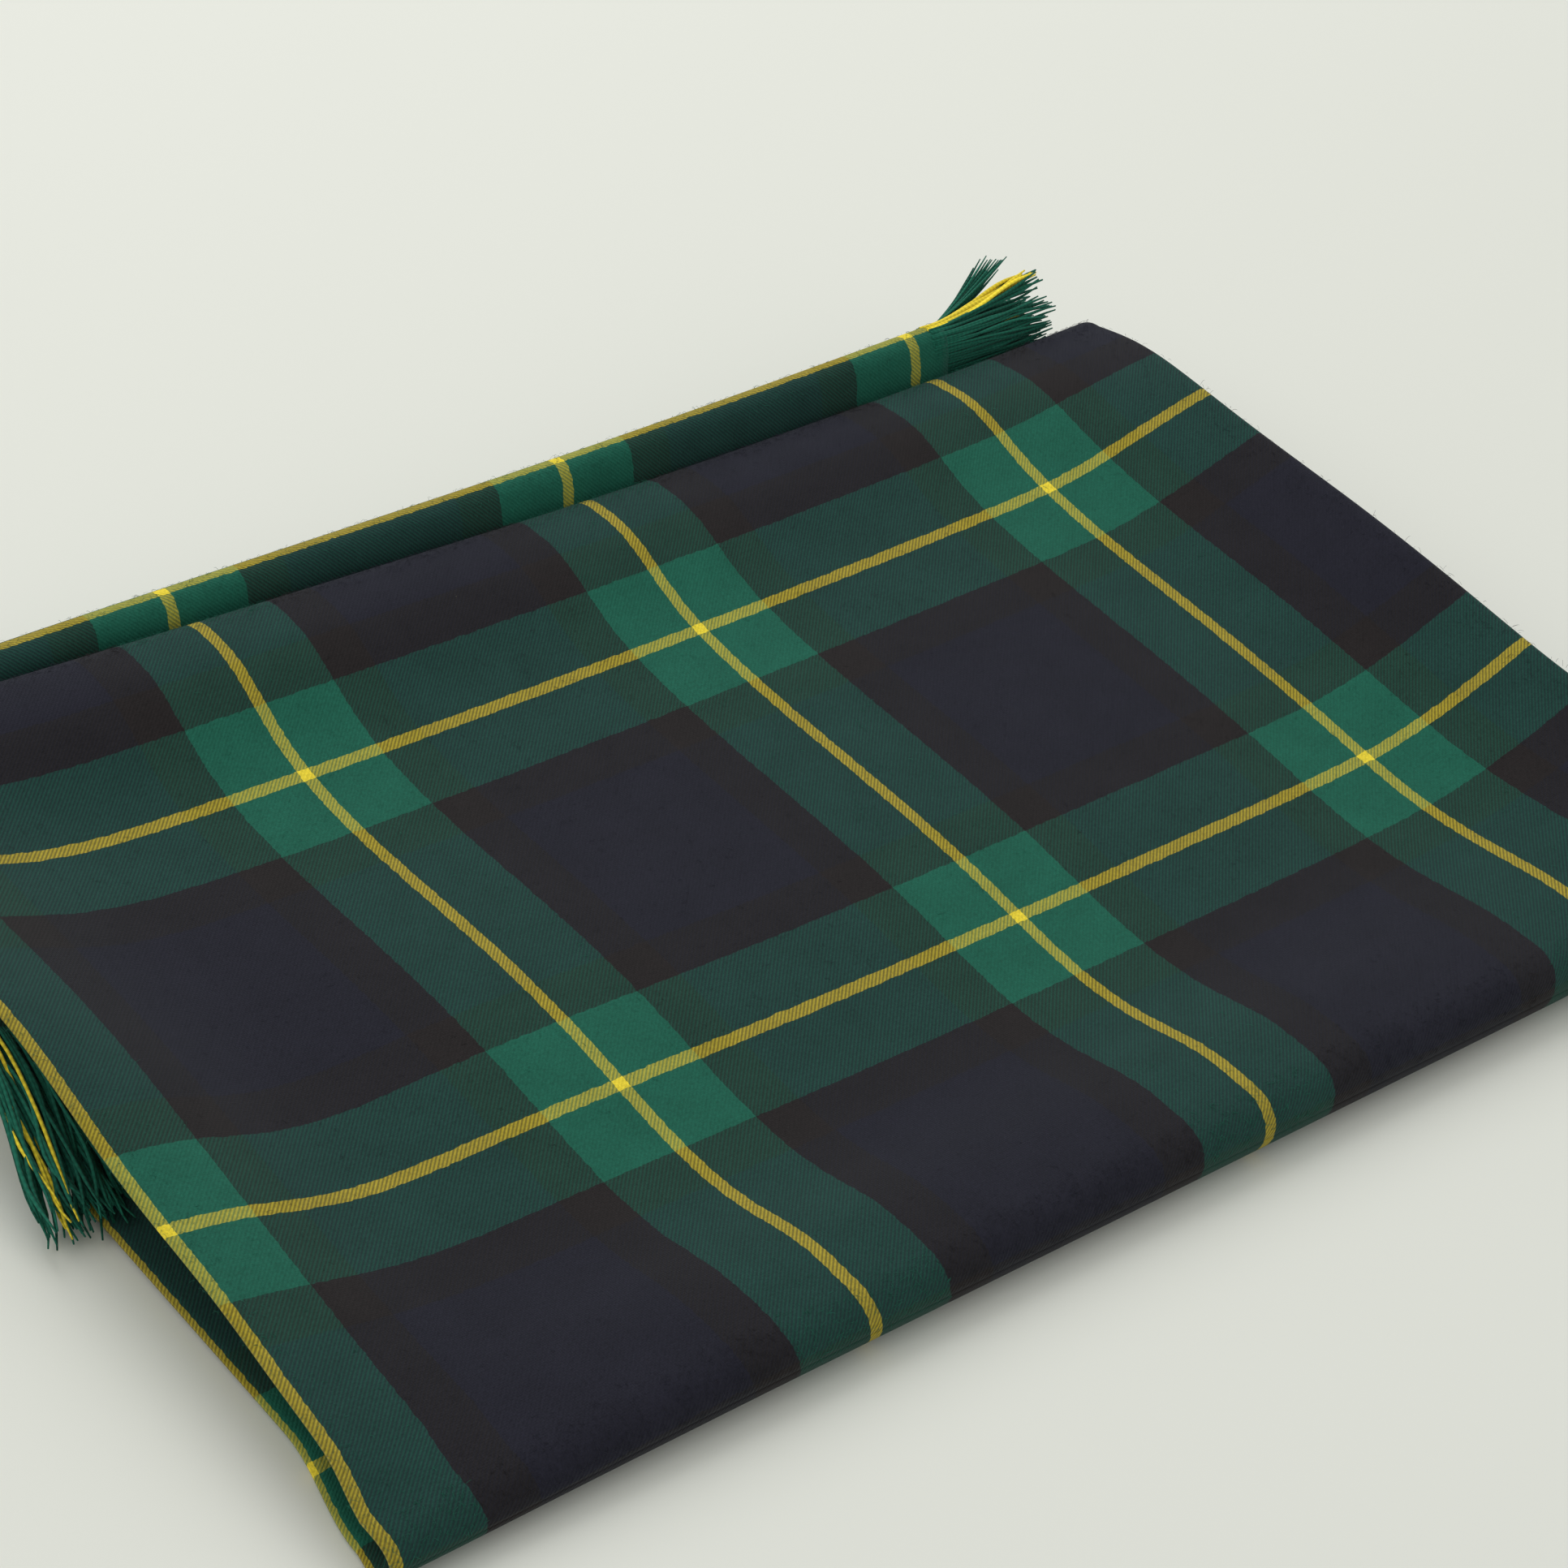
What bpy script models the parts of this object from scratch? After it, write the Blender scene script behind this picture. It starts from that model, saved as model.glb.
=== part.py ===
"""A folded tartan throw: a fringed wool cloth doubled lengthwise, folded over at the front and tucked in.

Every panel is a sheet bent from a grid and given the cloth's thickness with Solidify. The stack is laid out
flat, ten plies high, and puffed() then lifts it where folds and fringe hold it up. The row frame is in
metres, with +X along the front fold, -Y towards the front fold and +Z up. The origin is at the middle of
the box, on the table.
"""

import bisect
import math

import bmesh
import bpy

# The pack
HALF_WIDTH = 0.183  # from the middle to the fringe tips at either side
HALF_DEPTH = 0.117  # from the middle to the front fold, and to the back of the rolled edge
STACK_HEIGHT = 0.0144  # from the lowest ply to the highest one, before it is puffed

# The cloth
PLY = 0.0006  # thickness of one ply
PLIES = 10
GAP = 0.0003  # between pieces that meet edge to edge
FRINGE = 0.045

# Folds
SIDE_FOLD_DEPTH = 0.005
FRONT_FOLD_DEPTH = 0.012
BACK_FOLD_DEPTH = 0.006
ROLL_DEPTH = 0.0118  # the rolled edge of the tail, front to back
ROLL_CLEARANCE = 0.0007  # between the back fold and the rolled edge

# How far the panels reach
FLAP_OVERHANG = 0.0115  # how far the tucked flap's corner sticks out past the selvedges
YARN_OVERHANG = 0.002  # how far the tail's fringe sticks out past the fold at the right
TOP_LEFT = -HALF_WIDTH + FLAP_OVERHANG  # the selvedges of the doubled cloth
FLAP_LEFT = -HALF_WIDTH  # the tucked flap is skewed, so its corner sticks out at the left
FLAP_END = 0.016  # where the flap's cloth ends and its fringe starts, along Y
SIDE_START = HALF_WIDTH - YARN_OVERHANG - SIDE_FOLD_DEPTH
FRONT_START = -HALF_DEPTH + FRONT_FOLD_DEPTH
BACK_START = HALF_DEPTH - ROLL_DEPTH - ROLL_CLEARANCE - BACK_FOLD_DEPTH
ROLL_START = BACK_START - 0.010
TAIL_RIGHT = HALF_WIDTH - FRINGE
TAIL_LEFT = TOP_LEFT + 0.004
TAIL_FRONT = FRONT_START + 0.012
BOTTOM_BACK = HALF_DEPTH - 0.008

# How much higher than the middle the pack stands along each edge
MIDDLE_HEIGHT = 0.0095
RIGHT_RISE = 0.015
BACK_RISE = 0.014
LEFT_RISE = 0.008
FRONT_RISE = 0.004
RIGHT_RAMP, BACK_RAMP, LEFT_RAMP, FRONT_RAMP = 0.055, 0.042, 0.040, 0.034

FRINGE_TUFT, FRINGE_SPACE = 0.0105, 0.0025
CLOTH_GREEN, CLOTH_NAVY, FRINGE_GREEN = (0.02, 0.13, 0.10), (0.02, 0.02, 0.04), (0.02, 0.17, 0.12)


def level(ply):
    """Height of a ply's middle, counted from the table, before the stack is puffed."""
    return PLY / 2 + STACK_HEIGHT * ply / (PLIES - 1)


def smooth(t):
    t = min(max(t, 0.0), 1.0)
    return t * t * (3 - 2 * t)


def pack_height(x, y):
    """How high the pack's top stands above the table, as the folds and the fringe lift it along each edge."""
    right = RIGHT_RISE * smooth((x - SIDE_START) / RIGHT_RAMP + 1)
    back = BACK_RISE * smooth((y - BACK_START) / BACK_RAMP + 1)
    front = FRONT_RISE * smooth((FRONT_START - y) / FRONT_RAMP + 1)
    left = LEFT_RISE * smooth((TOP_LEFT - x) / LEFT_RAMP + 1)
    return MIDDLE_HEIGHT + sum(part**3 for part in (right, back, front, left)) ** (1 / 3)


def spread(low, high, steps):
    return [low + (high - low) * i / steps for i in range(steps + 1)]


# Every panel has its points on these lines, so that neighbouring plies stay parallel.
X_LINES = spread(TOP_LEFT + LEFT_RAMP, SIDE_START - RIGHT_RAMP, 3)
X_LINES = spread(TOP_LEFT, X_LINES[0], 4)[:-1] + X_LINES + spread(X_LINES[-1], SIDE_START, 5)[1:]
Y_LINES = spread(FRONT_START + FRONT_RAMP, BACK_START - BACK_RAMP, 4)
Y_LINES = spread(FRONT_START, Y_LINES[0], 3)[:-1] + Y_LINES + spread(Y_LINES[-1], BACK_START, 4)[1:]


def around(lines, value):
    """The two lines that value lies between, and its share of the way from the first to the second."""
    value = min(max(value, lines[0]), lines[-1])
    i = min(bisect.bisect_right(lines, value), len(lines) - 1)
    return lines[i - 1], lines[i], (value - lines[i - 1]) / (lines[i] - lines[i - 1])


def puffed(x, y, z):
    """Where a point of the flat stack lies once the pack is puffed, straight between the lines. The lowest ply stays flat."""
    x0, x1, across = around(X_LINES, x)
    y0, y1, along = around(Y_LINES, y)
    near = pack_height(x0, y0) * (1 - across) + pack_height(x1, y0) * across
    far = pack_height(x0, y1) * (1 - across) + pack_height(x1, y1) * across
    height = near * (1 - along) + far * along
    return PLY / 2 + (z - PLY / 2) * (height - PLY) / STACK_HEIGHT


def between(lines, low, high):
    """low, high and the grid lines that lie clear of them."""
    margin = 0.002
    return [low] + [v for v in lines if low + margin < v < high - margin] + [high]


def run(low, high, z):
    """The line of a flat panel along Y at one height."""
    return [(y, z) for y in between(Y_LINES, low, high)]


def half_round(y, low, high, depth, side, steps=6):
    """Half an ellipse from height high round to height low, bulging to side (-1 front, 1 back)."""
    middle, radius = (low + high) / 2, (high - low) / 2
    turns = [math.pi * i / steps for i in range(steps + 1)]
    return [(y + side * depth * math.sin(a), middle + radius * math.cos(a)) for a in turns]


def sheet(name, line, columns, colour, teeth=None):
    """A ply: its line in the Y-Z plane, repeated at each column along X, puffed and thickened.

    teeth says where gaps are left: a test of (column, row) that is true for each cell to drop.
    """
    bm = bmesh.new()
    bmesh.ops.create_grid(bm, x_segments=len(columns) - 1, y_segments=len(line) - 1)
    bm.verts.ensure_lookup_table()
    for i, vertex in enumerate(bm.verts):
        x = columns[i % len(columns)]
        y, z = line[i // len(columns)]
        vertex.co = (x, y, puffed(x, y, z))
    if teeth:
        cells = [face for i, face in enumerate(bm.faces) if teeth(i % (len(columns) - 1), i // (len(columns) - 1))]
        bmesh.ops.delete(bm, geom=cells, context="FACES")
    return cloth_object(name, bm, colour)


def side_bend(name, line, depth_line, colour):
    """The fold along the right: each point of line is the upper ply there, and depth_line the lower one."""
    steps = 4
    bm = bmesh.new()
    bmesh.ops.create_grid(bm, x_segments=steps, y_segments=len(line) - 1)
    bm.verts.ensure_lookup_table()
    for i, vertex in enumerate(bm.verts):
        turn = math.pi * (i % (steps + 1)) / steps
        (y_outer, z_outer), (y_inner, z_inner) = line[i // (steps + 1)], depth_line[i // (steps + 1)]
        share = (1 - math.cos(turn)) / 2
        x = SIDE_START + GAP + (SIDE_FOLD_DEPTH - GAP - PLY / 2) * math.sin(turn)
        y = y_outer + (y_inner - y_outer) * share
        vertex.co = (x, y, puffed(x, y, z_outer + (z_inner - z_outer) * share))
    return cloth_object(name, bm, colour)


def cloth_object(name, bm, colour):
    """The sheet in bm as an object of the throw, one ply thick."""
    bmesh.ops.delete(bm, geom=[v for v in bm.verts if not v.link_faces], context="VERTS")
    bmesh.ops.recalc_face_normals(bm, faces=bm.faces)
    mesh = bpy.data.meshes.new(name)
    bm.to_mesh(mesh)
    bm.free()
    mesh.materials.append(material(colour))
    mesh.shade_smooth()
    obj = bpy.data.objects.new(name, mesh)
    throw.objects.link(obj)
    thick = obj.modifiers.new("Thickness", "SOLIDIFY")
    thick.thickness = PLY
    thick.offset = 0
    return obj


def material(colour):
    name = "wool_%02d_%02d_%02d" % tuple(round(100 * part) for part in colour)
    found = bpy.data.materials.get(name)
    if found:
        return found
    wool = bpy.data.materials.new(name)
    wool.use_nodes = True
    shader = wool.node_tree.nodes["Principled BSDF"]
    shader.inputs["Base Color"].default_value = (*colour, 1)
    shader.inputs["Roughness"].default_value = 0.95
    shader.inputs["Metallic"].default_value = 0
    return wool


def main_columns():
    return between(X_LINES, TOP_LEFT, SIDE_START)


def doubled_panel(name, low, high, upper, lower, colour):
    """Two plies and the fold that joins them along the right."""
    sheet(name + "_upper_ply", run(low, high, level(upper)), main_columns(), colour)
    sheet(name + "_lower_ply", run(low, high, level(lower)), main_columns(), colour)
    side_bend(name + "_side_fold", run(low, high, level(upper)), run(low, high, level(lower)), colour)


def front_fold():
    """The big fold at the front, from the top panel round to the bottom one."""
    outer = half_round(FRONT_START - GAP, level(0), level(PLIES - 1), FRONT_FOLD_DEPTH - GAP - PLY / 2, -1)
    inner_depth = FRONT_FOLD_DEPTH - 3 * PLY
    inner = half_round(FRONT_START - GAP, level(1), level(PLIES - 2), inner_depth, -1)
    sheet("front_fold_outer_ply", outer, main_columns(), CLOTH_NAVY)
    sheet("front_fold_inner_ply", inner, main_columns(), CLOTH_NAVY)
    side_bend("front_fold_side_bend", outer, inner, CLOTH_NAVY)


def back_fold():
    """The fold at the back, from the top panel round to the tucked flap under it."""
    outer = half_round(BACK_START + GAP, level(6), level(9), BACK_FOLD_DEPTH - GAP - PLY / 2, 1)
    inner = half_round(BACK_START + GAP, level(7), level(8), BACK_FOLD_DEPTH / 2, 1)
    sheet("back_fold_outer_ply", outer, main_columns(), CLOTH_NAVY)
    sheet("back_fold_inner_ply", inner, main_columns(), CLOTH_NAVY)
    side_bend("back_fold_side_bend", outer, inner, CLOTH_NAVY)


def tuft_lines(columns):
    """Where tufts and the spaces after them start, with every column of the cloth at the start of a tuft."""
    lines = []
    for low, high in zip(columns, columns[1:]):
        count = max(round((high - low) / (FRINGE_TUFT + FRINGE_SPACE)), 1)
        for start in spread(low, high, count)[:-1]:
            lines += [start, start + (high - low) / count - FRINGE_SPACE]
    return lines


def tucked_flap():
    """The end of the cloth that is tucked under the top panel, with its fringe pointing to the front."""
    columns = [FLAP_LEFT + 0.003] + main_columns()[1:]
    doubled = run(FLAP_END, BACK_START - GAP, level(7))
    sheet("tucked_flap_upper_ply", doubled, columns, CLOTH_GREEN)
    sheet("tucked_flap_lower_ply", run(FLAP_END, BACK_START - GAP, level(6)), columns, CLOTH_GREEN)
    side_bend("tucked_flap_side_fold", doubled, run(FLAP_END, BACK_START - GAP, level(6)), CLOTH_GREEN)
    tufts = tuft_lines([FLAP_LEFT] + main_columns()[1:])
    for ply, name in ((7, "upper"), (6, "lower")):
        line = [(FLAP_END - GAP, level(ply))] + run(FLAP_END - FRINGE, FLAP_END - 0.004, level(ply))[::-1]
        sheet(f"tucked_flap_fringe_{name}", line, tufts, FRINGE_GREEN, lambda c, r: r > 0 and c % 2 == 1)


def roll_line(upper, lower, inset):
    """The tail's rolled edge behind the back fold, from its upper plies over the crest and down to its lower plies."""
    front, back = HALF_DEPTH - ROLL_DEPTH + PLY / 2 + inset, HALF_DEPTH - PLY / 2 - inset
    top = level(PLIES - 1) - inset * 0.6
    middle, radius = (front + back) / 2, (back - front) / 2
    waist = level(7)
    over = [math.pi * i / 6 for i in range(7)]
    crest = [(middle - radius * math.cos(a), waist + (top - waist) * math.sin(a)) for a in over]
    under = [(back - radius * 0.35, level(lower) + 0.0012), (back - radius * 1.1, level(lower))]
    return [(ROLL_START, level(upper)), (front - 0.006, level(upper))] + crest + under + [(ROLL_START, level(lower))]


def tail():
    """The other end of the cloth, turned crosswise inside the pack: its rolled edge shows behind the back fold."""
    columns = between(X_LINES, TAIL_LEFT, TAIL_RIGHT)
    runs = {
        "upper_outer": run(TAIL_FRONT, ROLL_START - GAP, level(5)),
        "upper_inner": run(TAIL_FRONT, ROLL_START - GAP, level(4)),
        "lower_inner": run(TAIL_FRONT, ROLL_START - GAP, level(3)),
        "lower_outer": run(TAIL_FRONT, ROLL_START - GAP, level(2)),
    }
    outer, inner = roll_line(5, 2, 0), roll_line(4, 3, 0.0016)
    for name, line in runs.items():
        sheet(f"tail_{name}_ply", line, columns, CLOTH_NAVY)
    sheet("tail_roll_outer_ply", outer, columns, CLOTH_GREEN)
    sheet("tail_roll_inner_ply", inner, columns, CLOTH_GREEN)
    fold = half_round(TAIL_FRONT - GAP, level(2), level(3), 0.002, -1, 4)
    sheet("tail_centre_fold", fold, columns, CLOTH_NAVY)
    tail_fringe("tail_roll_fringe_outer", outer)
    tail_fringe("tail_roll_fringe_inner", inner)
    tail_fringe("tail_upper_fringe", runs["upper_outer"])
    tail_fringe("tail_lower_fringe", runs["lower_outer"])


def tail_fringe(name, line):
    """Fringe along the tail's right end: a narrow root band, and a tuft from every second stretch of line."""
    columns = [TAIL_RIGHT + GAP, TAIL_RIGHT + 0.004, TAIL_RIGHT + FRINGE / 2, HALF_WIDTH]
    sheet(name, line, columns, FRINGE_GREEN, lambda column, row: column > 0 and row % 2 == 1)


for obj in list(bpy.data.objects):
    bpy.data.objects.remove(obj)
throw = bpy.data.collections.new("folded_throw")
bpy.context.scene.collection.children.link(throw)

doubled_panel("top_panel", FRONT_START, BACK_START, 9, 8, CLOTH_NAVY)
doubled_panel("bottom_panel", FRONT_START, BOTTOM_BACK, 1, 0, CLOTH_NAVY)
front_fold()
back_fold()
tucked_flap()
tail()
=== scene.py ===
"""The looks of the folded tartan throw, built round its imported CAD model.

The cloth is laid on one smooth surface: pack_top(x, y) is the height of the upper ply, and every ply below it
lies at its own share of that height. A piece of cloth carries its place in the weave in the attribute "cloth":
X counts repeats of the tartan across the cloth, and Y counts them along it. The tartan, the twill and the fringe
all read it. Sizes are in metres, in the CAD model's frame.
"""

import math

import bpy
import numpy as np
from mathutils import Matrix, Vector


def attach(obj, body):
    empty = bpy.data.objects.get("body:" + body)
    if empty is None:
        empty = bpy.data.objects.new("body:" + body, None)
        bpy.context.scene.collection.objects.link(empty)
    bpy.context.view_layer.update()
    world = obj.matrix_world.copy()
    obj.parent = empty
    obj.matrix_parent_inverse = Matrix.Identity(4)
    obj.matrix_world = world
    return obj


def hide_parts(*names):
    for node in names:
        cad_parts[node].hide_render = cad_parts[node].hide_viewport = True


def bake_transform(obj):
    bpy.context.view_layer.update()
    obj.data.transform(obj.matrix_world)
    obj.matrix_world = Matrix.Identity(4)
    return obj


MM = 0.001

# The cloth
REPEAT = 0.100  # one repeat of the tartan across the cloth
REPEAT_ALONG = 0.103  # and along it
SELVEDGE = 0.009  # cloth outside the outermost yellow lines, in repeats
LEFT_EDGE, RIGHT_EDGE = -1 - SELVEDGE, 6 + SELVEDGE  # the two selvedges, in repeats
MIDDLE_FOLD, HALF_BEND = 2.5, 0.02  # the lengthwise fold, and where its bend starts on either side
SLACK = 0.05  # how much more cloth than that the bend takes
LEAST_RADIUS = 0.0011  # of the lengthwise fold
PLY = 0.0007  # thickness of one ply
CROSSING = (-0.069, 0.061)  # where the yellow lines 0 and 0 cross on the top panel
ANCHOR = 0.5  # the lengthwise line whose place along X is fixed

# The pack, where the CAD model has it: a fold starts at one place along Y and reaches out by its depth
FRONT_START, FRONT_DEPTH = -0.105, 0.0088
BACK_START, BACK_DEPTH = 0.0985, 0.006
INNER_FRONT_INSET = 0.0012  # how much less far the inner ply reaches out at the front fold
BEND_BULGE = 0.75  # below 1, the front fold's section is fuller than a half circle
FLAP_END, FLAP_SKEW = 0.016, 0.006  # where the tucked flap's cloth ends, and how far it has slid to the left there
TOP_LEVEL = 9  # plies are counted from 0, on the table, to 9
PANEL_LEVELS = {True: (9, 6, 0), False: (8, 7, 1)}  # outer ply, inner ply: top panel, tucked flap, bottom panel
TABLE_PLY = 0.0004  # height of the lowest ply's middle
STEP = 0.0025  # distance between the points of a cloth
BEND_POINTS = 23  # points round the front fold and the back fold
WIDTH_PASSES = 5  # how often the rows of the cloth are laid out again, to keep their width

# The bottom panel
BOTTOM_BACK = 0.109
BOTTOM_WIDTH = 0.975  # its width, as a share of the cloth's: it lies a little ruffled
BOTTOM_SHIFT = {True: 0.003, False: -0.005}  # outer ply, inner ply: how far the selvedge moves along X
LIFT_LENGTH = 0.03  # how far behind the front fold its plies reach their own level
TURNED_UNDER = 0.013  # how much of its upper selvedge is turned under, in repeats

# The front left corner leans outwards: how far, and where that starts along the cloth's width and along Y
CORNER_FLARE, CORNER_START, CORNER_FADE = 0.0045, -0.35, 0.6
FLARE_Y, BOTTOM_FLARE_LENGTH = -0.092, 0.028
TOP_FLARE, BEND_FLARE = 0.25, 0.6  # the top panel's share of it, and what the bend's middle adds to it

# The fringes
FRINGE = 0.045
YARN_TOP = 0.0382  # no yarn rises above this

# The pack's upper surface in millimetres, at these distances from the crossing. It dips in the middle, and rises
# over the folds at the back and the right, over the fringe at the left, and in a low ridge along the front.
AT_X = (-104, -84, -64, -30, 40, 120, 180, 210, 232, 250)
AT_Y = (-168, -155, -140, -118, -92, -50, -10, 12, 28, 40)
HEIGHTS = (
    (8.0, 9.2, 10.6, 12.0, 12.2, 12.8, 13.5, 15.5, 19.5, 24.0),
    (13.4, 10.8, 10.5, 11.6, 11.8, 12.4, 13.0, 15.5, 20.0, 25.0),
    (16.0, 12.2, 9.6, 8.5, 8.0, 9.0, 10.5, 14.0, 20.0, 27.0),
    (18.8, 14.4, 9.2, 7.0, 6.2, 7.0, 8.8, 12.2, 19.5, 28.0),
    (20.5, 17.5, 11.0, 9.2, 8.6, 9.4, 11.0, 13.8, 21.0, 29.5),
    (27.0, 21.5, 13.0, 10.0, 9.4, 11.2, 13.6, 17.0, 24.5, 31.5),
    (26.5, 20.5, 13.6, 9.4, 9.6, 12.2, 15.4, 19.0, 26.0, 32.0),
    (26.0, 21.5, 16.0, 13.6, 14.0, 16.0, 19.2, 22.6, 28.0, 31.5),
    (26.0, 23.5, 21.8, 20.8, 20.4, 21.0, 23.6, 25.4, 27.6, 29.6),
    (25.0, 23.5, 22.5, 21.6, 20.6, 20.6, 22.6, 24.0, 25.4, 26.6),
)


def spline_weights(knots, at):
    """How much each knot's value counts at each place, for the natural cubic spline through the knots."""
    knots = np.asarray(knots, float)
    count, gaps = len(knots), np.diff(knots)
    bends, turns = np.zeros((count, count)), np.zeros((count, count))
    bends[0, 0] = bends[-1, -1] = 1
    for i in range(1, count - 1):
        before, after = gaps[i - 1], gaps[i]
        bends[i, i - 1 : i + 2] = before / 6, (before + after) / 3, after / 6
        turns[i, i - 1 : i + 2] = 1 / before, -1 / before - 1 / after, 1 / after
    curvature = np.linalg.solve(bends, turns)
    at = np.clip(np.ravel(at), knots[0], knots[-1])
    i = np.clip(np.searchsorted(knots, at) - 1, 0, count - 2)
    gap = gaps[i]
    right = (at - knots[i]) / gap
    left = 1 - right
    rows = np.arange(len(at))
    weights = np.zeros((len(at), count))
    weights[rows, i] += left
    weights[rows, i + 1] += right
    weights += ((left**3 - left) * gap**2 / 6)[:, None] * curvature[i]
    weights += ((right**3 - right) * gap**2 / 6)[:, None] * curvature[i + 1]
    return weights


def spline(knots, values, at):
    """The smooth line through the knots' values, at each place."""
    return (spline_weights(knots, at) @ np.asarray(values, float)).reshape(np.shape(at))


def pack_top(x, y):
    """Height of the upper ply's middle above the table."""
    across = spline_weights(AT_X, (x - CROSSING[0]) / MM)
    along = spline_weights(AT_Y, (y - CROSSING[1]) / MM)
    return np.einsum("pi,ij,pj->p", along, np.array(HEIGHTS), across).reshape(np.shape(x)) * MM


def smooth(t):
    """0 up to t = 0, 1 from t = 1, and a soft step between them."""
    t = np.clip(t, 0, 1)
    return t * t * (3 - 2 * t)


def at_level(height, level):
    """Height of the ply at this level, where the upper ply's is height."""
    return TABLE_PLY + (height - TABLE_PLY) * level / TOP_LEVEL


def row_positions(u, y):
    """x of each point of the rows at y (one a row), so that the cloth keeps its width as it rises and falls."""
    fixed = CROSSING[0] + REPEAT * ANCHOR
    x = fixed + REPEAT * (u[None, :] - ANCHOR) * np.ones((len(y), 1))
    rows = np.repeat(y[:, None], len(u), 1)
    middle = np.argmin(abs(u - ANCHOR))
    for _ in range(WIDTH_PASSES):  # each pass takes the slopes where the last one put the points
        slope = np.gradient(pack_top(x, rows), axis=1) / np.gradient(x, axis=1)
        stride = REPEAT * np.diff(u)[None, :] / np.sqrt(1 + ((slope[:, 1:] + slope[:, :-1]) / 2) ** 2)
        x = np.concatenate([np.zeros((len(y), 1)), np.cumsum(stride, axis=1)], axis=1)
        x += fixed + REPEAT * (u[middle] - ANCHOR) - x[:, middle : middle + 1]
    return x


def stations(low, high, step=STEP):
    """Even places from low to high, which may be the lower one, about a step apart."""
    return np.linspace(low, high, max(round(abs(high - low) / step), 2) + 1)


def ply(u, outer):
    """One ply of the doubled cloth along its whole length, from under the tucked flap to the bottom panel's back.

    It gives the points as rows of the cloth, and where the top piece ends and the bottom piece starts.
    """
    top, flap, bottom = PANEL_LEVELS[outer]
    back_depth = BACK_DEPTH if outer else BACK_DEPTH / 2
    front_depth = FRONT_DEPTH if outer else FRONT_DEPTH - INNER_FRONT_INSET
    turn = np.linspace(0, math.pi, BEND_POINTS + 2)[1:-1]
    width = len(u)

    flap_y, top_y = stations(FLAP_END, BACK_START), stations(BACK_START, FRONT_START)
    bottom_y = stations(FRONT_START, BOTTOM_BACK)
    x_top = row_positions(u, top_y)
    flare = CORNER_FLARE * smooth((CORNER_START - u) / CORNER_FADE)
    x_top -= TOP_FLARE * flare[None, :] * smooth((top_y[:, None] - FLARE_Y) / (FRONT_START - FLARE_Y))
    height = pack_top(x_top, np.repeat(top_y[:, None], width, 1))
    rows = []

    skew = FLAP_SKEW * smooth((BACK_START - flap_y) / (BACK_START - FLAP_END))
    x_flap = row_positions(u, flap_y) - skew[:, None]
    flap_z = at_level(pack_top(x_flap, np.repeat(flap_y[:, None], width, 1)), flap)
    rows += [(x_flap[i], np.full(width, y), flap_z[i]) for i, y in enumerate(flap_y)]

    high, low = at_level(height[0], top), flap_z[-1]
    for angle in turn[::-1]:
        y = np.full(width, BACK_START + back_depth * math.sin(angle))
        rows.append((x_top[0], y, (high + low) / 2 + (high - low) / 2 * math.cos(angle)))
    rows += [(x_top[i], np.full(width, y), at_level(height[i], top)) for i, y in enumerate(top_y)]

    below = CROSSING[0] + REPEAT * (ANCHOR + (u - ANCHOR) * BOTTOM_WIDTH)
    below += BOTTOM_SHIFT[outer] * np.clip((ANCHOR - u) / (ANCHOR - LEFT_EDGE), 0, 1)
    high, low = at_level(height[-1], top), np.full(width, at_level(FRONT_DEPTH, bottom))
    split = len(rows) + BEND_POINTS // 2
    for angle in turn:
        share = smooth(angle / math.pi)
        y = np.full(width, FRONT_START - front_depth * math.sin(angle) ** BEND_BULGE)
        x = x_top[-1] * (1 - share) + (below - (1 + BEND_FLARE * math.sin(angle)) * flare) * share
        rows.append((x, y, (high + low) / 2 + (high - low) / 2 * math.cos(angle)))

    behind = bottom_y[:, None] - FRONT_START
    x_bottom = below[None, :] - flare[None, :] * (1 - smooth(behind / BOTTOM_FLARE_LENGTH))
    lift = pack_top(x_bottom, np.repeat(bottom_y[:, None], width, 1))
    share = smooth(behind / LIFT_LENGTH)
    bottom_z = low * (1 - share) + at_level(lift, bottom) * share
    rows += [(x_bottom[i], np.full(width, y), bottom_z[i]) for i, y in enumerate(bottom_y)]
    return np.array([np.stack(row, axis=1) for row in rows]), split


def grid_object(name, points, cloth, material):
    """A sheet of cloth through rows of points, with its places in the weave."""
    height, width = points.shape[:2]
    index = np.arange(height * width).reshape(height, width)
    quads = np.stack([index[:-1, :-1], index[:-1, 1:], index[1:, 1:], index[1:, :-1]], axis=-1).reshape(-1, 4)
    mesh = bpy.data.meshes.new(name)
    mesh.from_pydata(points.reshape(-1, 3).tolist(), [], quads.tolist())
    mark = mesh.attributes.new("cloth", "FLOAT_VECTOR", "POINT")
    mark.data.foreach_set("vector", cloth.reshape(-1, 3).astype(np.float32).ravel())
    mesh.materials.append(material)
    mesh.shade_smooth()
    obj = bpy.data.objects.new(name, mesh)
    bpy.context.scene.collection.objects.link(obj)
    thick = obj.modifiers.new("Thickness", "SOLIDIFY")
    thick.thickness = PLY
    thick.offset = 0
    return obj


def along(points):
    """Where each point lies along its ply, in repeats from the yellow line that crosses the top panel."""
    strides = np.linalg.norm(np.diff(points, axis=0), axis=2)
    v = np.concatenate([np.zeros((1, points.shape[1])), np.cumsum(strides, axis=0)]) / REPEAT_ALONG
    first = len(stations(FLAP_END, BACK_START)) + BEND_POINTS
    share = (BACK_START - CROSSING[1]) / (BACK_START - FRONT_START)
    crossing = first + share * (len(stations(BACK_START, FRONT_START)) - 1)
    low = int(crossing)
    return v - (v[low] + (v[low + 1] - v[low]) * (crossing - low))


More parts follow.
